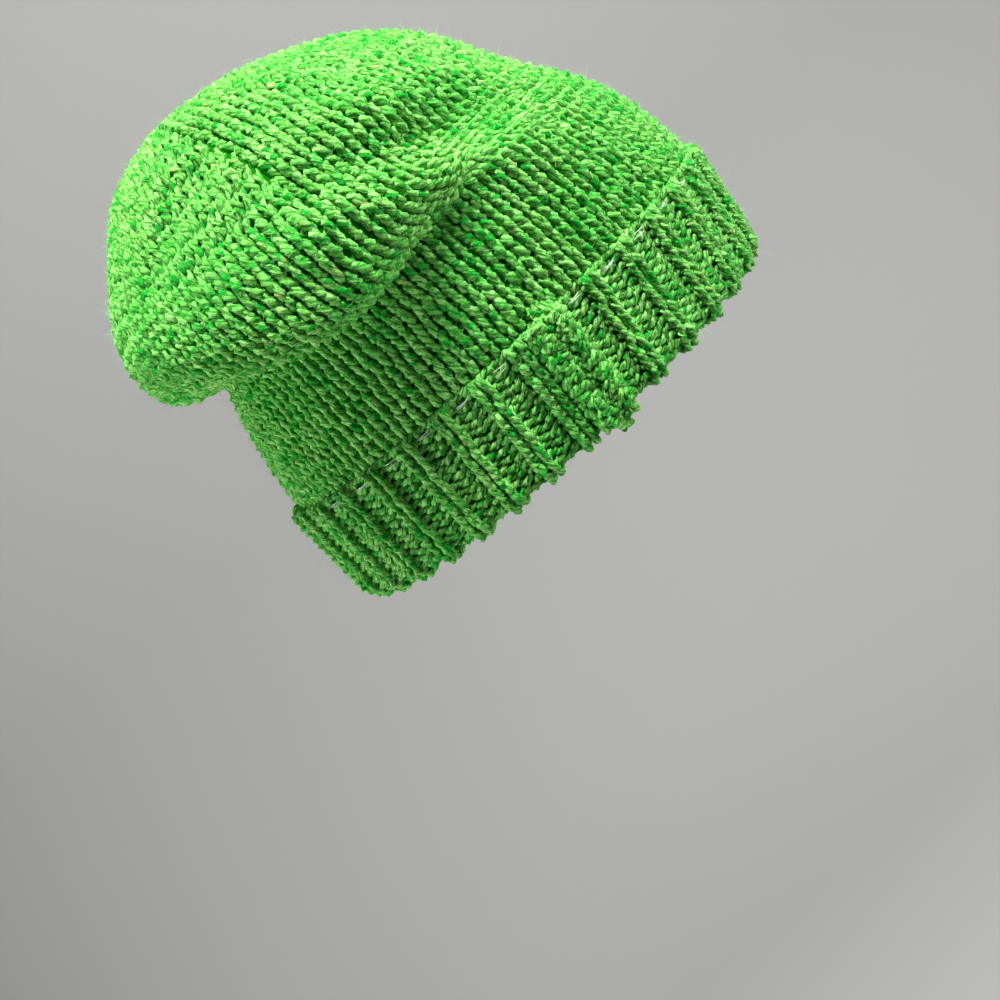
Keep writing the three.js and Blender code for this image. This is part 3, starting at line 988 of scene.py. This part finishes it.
@dataclass
class Tree:
    """A short hand for adding and linking a node tree's nodes."""

    tree: bpy.types.NodeTree

    def node(self, kind: str, inputs: dict | None = None, **settings: object) -> bpy.types.Node:
        """Adds a node.

        Args:
            kind: its type.
            inputs: values or sockets for its inputs, by name or by number.
            settings: its own properties.

        Returns:
            The node.
        """
        made = self.tree.nodes.new(kind)
        for name, value in settings.items():
            setattr(made, name, value)
        for name, value in (inputs or {}).items():
            if isinstance(value, bpy.types.NodeSocket):
                self.tree.links.new(value, made.inputs[name])
            else:
                made.inputs[name].default_value = value
        return made

    def maths(self, operation: str, a: object, b: object = 0.0) -> bpy.types.NodeSocket:
        """The result of a Math node on two numbers or sockets."""
        return self.node("ShaderNodeMath", {0: a, 1: b}, operation=operation).outputs[0]

    def noise(self, vector: bpy.types.NodeSocket, scale: float, detail: float = 2.0,
              roughness: float = 0.5) -> bpy.types.NodeSocket:
        """A Noise Texture's value, from 0 to 1."""
        inputs = {"Vector": vector, "Scale": scale, "Detail": detail, "Roughness": roughness}
        return self.node("ShaderNodeTexNoise", inputs).outputs[0]

    def step(self, value: bpy.types.NodeSocket, low: float, high: float) -> bpy.types.NodeSocket:
        """0 below low and 1 above high, and smooth between."""
        inputs = {"Value": value, "From Min": low, "From Max": high}
        return self.node("ShaderNodeMapRange", inputs, interpolation_type="SMOOTHSTEP").outputs[0]

    def mix(self, share: object, a: object, b: object, blend: str = "MIX") -> bpy.types.NodeSocket:
        """A colour mix of a and b."""
        made = self.node("ShaderNodeMix", data_type="RGBA", blend_type=blend)
        for socket, value in zip((made.inputs[0], made.inputs[6], made.inputs[7]), (share, a, b)):
            if isinstance(value, bpy.types.NodeSocket):
                self.tree.links.new(value, socket)
            elif isinstance(value, tuple):
                socket.default_value = (*value, 1.0)
            else:
                socket.default_value = value
        return made.outputs[2]


def new_material(name: str) -> tuple[bpy.types.Material, Tree, bpy.types.Node]:
    """A material with its node tree and its Principled shader."""
    material = bpy.data.materials.new(name)
    material.use_nodes = True
    return material, Tree(material.node_tree), material.node_tree.nodes["Principled BSDF"]


def set_inputs(shader: bpy.types.Node, values: dict[str, object]) -> None:
    """Sets a shader's own constants by the names of its inputs."""
    for socket, value in values.items():
        shader.inputs[socket].default_value = value


def spun_yarn_group() -> bpy.types.NodeTree:
    """The group that every yarn shares: the colours of its plies, the flecks, the fibres' relief, and painted
    shade darkening the valleys between plies.

    The yarn's UV map gives the way round it, from 0 to 1, and the length along it in millimetres. Flecks keep
    to one ply, because the ply's number picks the place in their noise.

    Returns:
        The group.
    """
    colour, value = "NodeSocketColor", "NodeSocketFloat"
    group = new_group(
        "Spun tweed yarn",
        {"Base": colour, "Pale": colour, "Deep": colour, "Fleck": colour, "Cream": colour,
         "Fleck from": value, "Cream from": value},
        {"Color": colour, "Height": value, "Roughness": value},
    )
    t = Tree(group)
    given = group.nodes["Group Input"].outputs
    result = group.nodes["Group Output"].inputs
    uv = t.node("ShaderNodeUVMap", uv_map="Yarn").outputs[0]
    parts = t.node("ShaderNodeSeparateXYZ", {0: uv}).outputs
    round_it = t.maths("MULTIPLY", parts[0], 3.0)
    ply = t.maths("FLOOR", round_it)
    along = parts[1]

    def at(x: object, y: object, z: object = 0.0) -> bpy.types.NodeSocket:
        """A vector of three numbers or sockets."""
        return t.node("ShaderNodeCombineXYZ", {0: x, 1: y, 2: z}).outputs[0]

    def drawn_out(across: object, pace: float, lengthwise: float, layer: float, detail: float = 2.0,
                  roughness: float = 0.5) -> bpy.types.NodeSocket:
        """Noise that is drawn out along the yarn: pace across it, lengthwise along it, at its own layer."""
        sideways = t.maths("MULTIPLY", across, pace)
        return t.noise(at(sideways, t.maths("MULTIPLY", along, lengthwise), layer), 1.0, detail, roughness)

    def spots(noise: bpy.types.NodeSocket, start: bpy.types.NodeSocket, edge: float) -> bpy.types.NodeSocket:
        """1 where the noise is past start, with an edge as wide as given."""
        inputs = {"Value": noise, "From Min": start, "From Max": t.maths("ADD", start, edge)}
        return t.node("ShaderNodeMapRange", inputs).outputs[0]

    def towards(tone: bpy.types.NodeSocket, mask: bpy.types.NodeSocket, share: float,
                colour_name: str) -> bpy.types.NodeSocket:
        """The tone mixed towards one of the given colours, by a share of the mask."""
        return t.mix(t.maths("MULTIPLY", mask, share), tone, given[colour_name])

    fleck_mask = spots(drawn_out(ply, 7.7, 0.16, 0.0), given["Fleck from"], 0.045)
    cream_mask = spots(drawn_out(ply, 5.3, 0.23, 31.0), given["Cream from"], 0.03)
    shade = drawn_out(ply, 3.1, 0.3, 12.0, 3.0, 0.6)
    fibres = drawn_out(round_it, 5.0, 0.55, 5.0, 3.0, 0.65)
    fine = drawn_out(round_it, 9.0, 1.3, 9.0, 2.0, 0.6)
    zone = t.noise(at(3.0, t.maths("MULTIPLY", along, 0.09), 44.0), 1.0, 2.0)
    within = t.maths("FRACT", round_it)
    valley = t.maths("ABSOLUTE", t.maths("SUBTRACT", within, 0.5))
    tone = t.mix(t.step(shade, 0.42, 0.68), given["Base"], given["Pale"])
    tone = t.mix(t.step(shade, 0.46, 0.24), tone, given["Deep"])
    tone = towards(tone, t.step(zone, 0.56, 0.66), 0.6, "Fleck")
    tone = towards(tone, t.step(zone, 0.43, 0.34), 0.5, "Pale")
    tone = t.mix(fleck_mask, tone, given["Fleck"])
    tone = towards(tone, cream_mask, 0.8, "Cream")
    tone = towards(tone, t.step(fibres, 0.54, 0.36), 0.75, "Deep")
    tone = towards(tone, t.step(fine, 0.53, 0.70), 0.5, "Pale")
    # Painted shade: the valleys between plies are darkened towards the deep colour.
    tone = towards(tone, t.step(valley, 0.32, 0.48), 0.75, "Deep")
    links = group.links
    links.new(tone, result["Color"])
    height = t.maths("ADD", t.maths("MULTIPLY", fibres, 0.7), t.maths("MULTIPLY", fine, 0.3))
    links.new(height, result["Height"])
    links.new(t.maths("ADD", t.maths("MULTIPLY", fibres, 0.16), 0.76), result["Roughness"])
    return group


@dataclass
class YarnFinishes:
    """Makes the materials of one tweed yarn: the strand, the shade inside the fabric, and the loose hairs."""

    group: bpy.types.NodeTree

    def strand(self, tweed: Tweed) -> bpy.types.Material:
        """The yarn itself."""
        material, t, shader = new_material(tweed.name)
        yarn = t.node("ShaderNodeGroup", node_tree=self.group)
        set_inputs(yarn, {"Base": (*tweed.base, 1.0), "Pale": (*tweed.pale, 1.0), "Deep": (*tweed.deep, 1.0),
                          "Fleck": (*tweed.fleck, 1.0), "Cream": (*tweed.cream, 1.0),
                          "Fleck from": tweed.flecks, "Cream from": tweed.creams})
        place = t.node("ShaderNodeTexCoord").outputs["Object"]
        patch = t.noise(place, 38.0, 3.0, 0.6)
        patches = t.maths("MULTIPLY", t.step(patch, 0.45, 0.62), 0.30)
        colour = t.mix(patches, yarn.outputs["Color"], tweed.fleck)
        material.node_tree.links.new(colour, shader.inputs["Base Color"])
        material.node_tree.links.new(yarn.outputs["Roughness"], shader.inputs["Roughness"])
        bump = t.node("ShaderNodeBump", {"Height": yarn.outputs["Height"], "Strength": tweed.bump,
                                         "Distance": 0.0008})
        material.node_tree.links.new(bump.outputs[0], shader.inputs["Normal"])
        set_inputs(shader, {"Sheen Weight": 0.08, "Sheen Roughness": 0.45,
                            "Sheen Tint": (0.72, 1.0, 0.55, 1.0), "Specular IOR Level": 0.12})
        return material

    def shade(self, tweed: Tweed) -> bpy.types.Material:
        """Painted shade for the depth of the fabric, seen between stitches: the deep colour, unevenly dark.
        """
        material, t, shader = new_material(f"{tweed.name} depth")
        place = t.node("ShaderNodeTexCoord").outputs["Object"]
        dark = tuple(0.6 * value for value in tweed.deep)
        colour = t.mix(t.noise(place, 900.0, 2.0), dark, tuple(1.5 * value for value in tweed.deep))
        material.node_tree.links.new(colour, shader.inputs["Base Color"])
        set_inputs(shader, {"Roughness": 1.0, "Specular IOR Level": 0.0})
        return material

    def hair(self, tweed: Tweed) -> bpy.types.Material:
        """The loose fibres: pale, and thin enough to glow at the hat's edge."""
        material, t, shader = new_material(f"{tweed.name} hair")
        place = t.node("ShaderNodeTexCoord").outputs["Object"]
        colour = t.mix(t.noise(place, 320.0, 1.0), tweed.base, tweed.pale)
        material.node_tree.links.new(colour, shader.inputs["Base Color"])
        set_inputs(shader, {"Roughness": 0.7, "Sheen Weight": 0.3})
        return material

    def all_for(self, tweed: Tweed) -> tuple[bpy.types.Material, ...]:
        """The materials in the order of Part."""
        return self.strand(tweed), self.shade(tweed), self.hair(tweed)


@dataclass(frozen=True)
class ClearElastic:
    """Clear elastic thread: glassy, with faint whitish streaks along it."""

    name: str = "Clear elastic thread"
    tint: Colour = (0.88, 0.97, 0.88)
    streak: Colour = (1.0, 1.0, 1.0)

    def material(self) -> bpy.types.Material:
        """Returns the material."""
        material, t, shader = new_material(self.name)
        uv = t.node("ShaderNodeUVMap", uv_map="Yarn").outputs[0]
        stretch = t.node("ShaderNodeMapping", {"Vector": uv, "Scale": (6.0, 0.15, 1.0)}).outputs[0]
        streaks = t.noise(stretch, 3.0, 2.0)
        material.node_tree.links.new(t.mix(streaks, self.tint, self.streak), shader.inputs["Base Color"])
        rough = t.maths("ADD", t.maths("MULTIPLY", streaks, 0.15), 0.08)
        material.node_tree.links.new(rough, shader.inputs["Roughness"])
        set_inputs(shader, {"Transmission Weight": 0.35, "Coat Weight": 0.6})
        return material


# ---- the studio --------------------------------------------------------------------------------
@dataclass(frozen=True)
class Studio:
    """A pale sweep, soft light from above the crown, and a camera on the wearer's right."""

    eye: tuple[float, float, float] = (20.0, -685.0, 122.0)
    look_at: tuple[float, float, float] = (-41.7, 0.0, -7.6)
    image_up: tuple[float, float, float] = (0.677, 0.0, 0.736)
    lens: float = 61.0
    floor: float = -700.0

    def camera(self) -> None:
        """Makes the camera, turned so that image_up is up in the picture."""
        data = bpy.data.cameras.new("camera")
        data.lens = self.lens
        data.sensor_width = 36.0
        data.clip_end = 30.0
        camera = bpy.data.objects.new("camera", data)
        eye, target = np.array(self.eye), np.array(self.look_at)
        back = unit(eye - target)
        right = unit(np.cross(np.array(self.image_up), back))
        up = np.cross(back, right)
        matrix = np.eye(4)
        matrix[:3, 0], matrix[:3, 1], matrix[:3, 2], matrix[:3, 3] = right, up, back, eye * MM
        camera.matrix_world = Matrix(matrix.tolist())
        bpy.context.scene.collection.objects.link(camera)
        bpy.context.scene.camera = camera

    def light(self, name: str, place: tuple[float, float, float], size: float, power: float,
              target: tuple[float, float, float] = (0.0, 0.0, 0.1), colour: Colour = (1.0, 1.0, 1.0)) -> None:
        """Makes a square area light at a place in metres, turned to a target."""
        data = bpy.data.lights.new(name, "AREA")
        data.size = size
        data.energy = power
        data.color = colour
        lamp = bpy.data.objects.new(name, data)
        back = unit(np.array(place) - np.array(target))
        right = unit(np.cross(np.array([0.1, 1.0, 0.2]), back))
        matrix = np.eye(4)
        matrix[:3, 0], matrix[:3, 1], matrix[:3, 2], matrix[:3, 3] = right, np.cross(back, right), back, place
        lamp.matrix_world = Matrix(matrix.tolist())
        bpy.context.scene.collection.objects.link(lamp)

    def sweep(self) -> None:
        """Makes the floor and backdrop: a floor, a quarter circle and a wall, as one smooth strip."""
        turn = np.linspace(0, math.pi / 2, 25)
        bend, bend_from, front, height, half_width = 0.6, 0.9, -6.0, 6.0, 7.0
        y = np.concatenate([[front], bend_from + bend * np.sin(turn), [bend_from + bend]])
        z = self.floor * MM + np.concatenate([[0.0], bend * (1 - np.cos(turn)), [height]])
        x = np.linspace(-half_width, half_width, 15)
        verts = np.stack([np.repeat(x[None], len(y), 0), np.repeat(y[:, None], len(x), 1),
                          np.repeat(z[:, None], len(x), 1)], -1).reshape(-1, 3)
        at = np.arange(len(y) * len(x)).reshape(len(y), len(x))
        faces = np.stack([at[:-1, :-1], at[:-1, 1:], at[1:, 1:], at[1:, :-1]], -1).reshape(-1, 4)
        mesh = bpy.data.meshes.new("studio_sweep")
        mesh.from_pydata(verts.tolist(), [], faces.tolist())
        mesh.polygons.foreach_set("use_smooth", np.ones(len(faces), bool))
        material, t, shader = new_material("Pale paper")
        place = t.node("ShaderNodeTexCoord").outputs["Object"]
        colour = t.mix(t.noise(place, 1.5, 2.0), (0.37, 0.37, 0.365), (0.40, 0.40, 0.395))
        material.node_tree.links.new(colour, shader.inputs["Base Color"])
        set_inputs(shader, {"Roughness": 0.9})
        mesh.materials.append(material)
        floor = bpy.data.objects.new("studio_sweep", mesh)
        bpy.context.scene.collection.objects.link(floor)
        floor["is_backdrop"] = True

    def build(self) -> None:
        """Sets up the whole studio."""
        scene = bpy.context.scene
        scene.view_settings.view_transform = "Standard"
        scene.view_settings.gamma = 0.9
        scene.view_settings.exposure = 0.12
        world = bpy.data.worlds.new("studio")
        scene.world = world
        world.use_nodes = True
        world.node_tree.nodes["Background"].inputs[0].default_value = (0.93, 0.97, 1.0, 1.0)
        world.node_tree.nodes["Background"].inputs[1].default_value = 0.10
        self.camera()
        self.sweep()
        self.light("key", (0.34, -0.48, 1.54), 0.4, 50.0, colour=(1.0, 0.99, 0.96))
        self.light("front fill", (1.2, -0.36, -0.05), 0.7, 12.5)
        self.light("back fill", (-1.3, -0.32, 0.00), 0.7, 14.0)
        self.light("backdrop", (0.7, 0.5, 0.9), 0.8, 3.5, target=(0.1, 1.5, 0.1))


def main() -> None:
    """Builds the hat and its studio, piece by piece."""
    logging.basicConfig(level=logging.INFO, format="%(message)s")
    finishes = YarnFinishes(spun_yarn_group())
    rib = finishes.all_for(Tweed("Rib yarn", base=(0.22, 0.66, 0.13)))
    body = finishes.all_for(Tweed("Body yarn"))
    seam = finishes.all_for(Tweed("Seam yarn", base=(0.22, 0.66, 0.12)))
    Studio().build()
    Stockinette().build_all(body)
    brim = Brim()
    clear = ClearElastic().material()
    for panel in range(RIBS // 2):
        brim.build_panel(panel, rib)
        brim.build_elastic(panel, clear)
    brim.build_inside(rib)
    SeamWelt(brim).build(seam)
    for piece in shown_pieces():
        log.info("%s: %d faces", piece.name, len(piece.data.polygons))


if __name__ == "__main__":
    main()
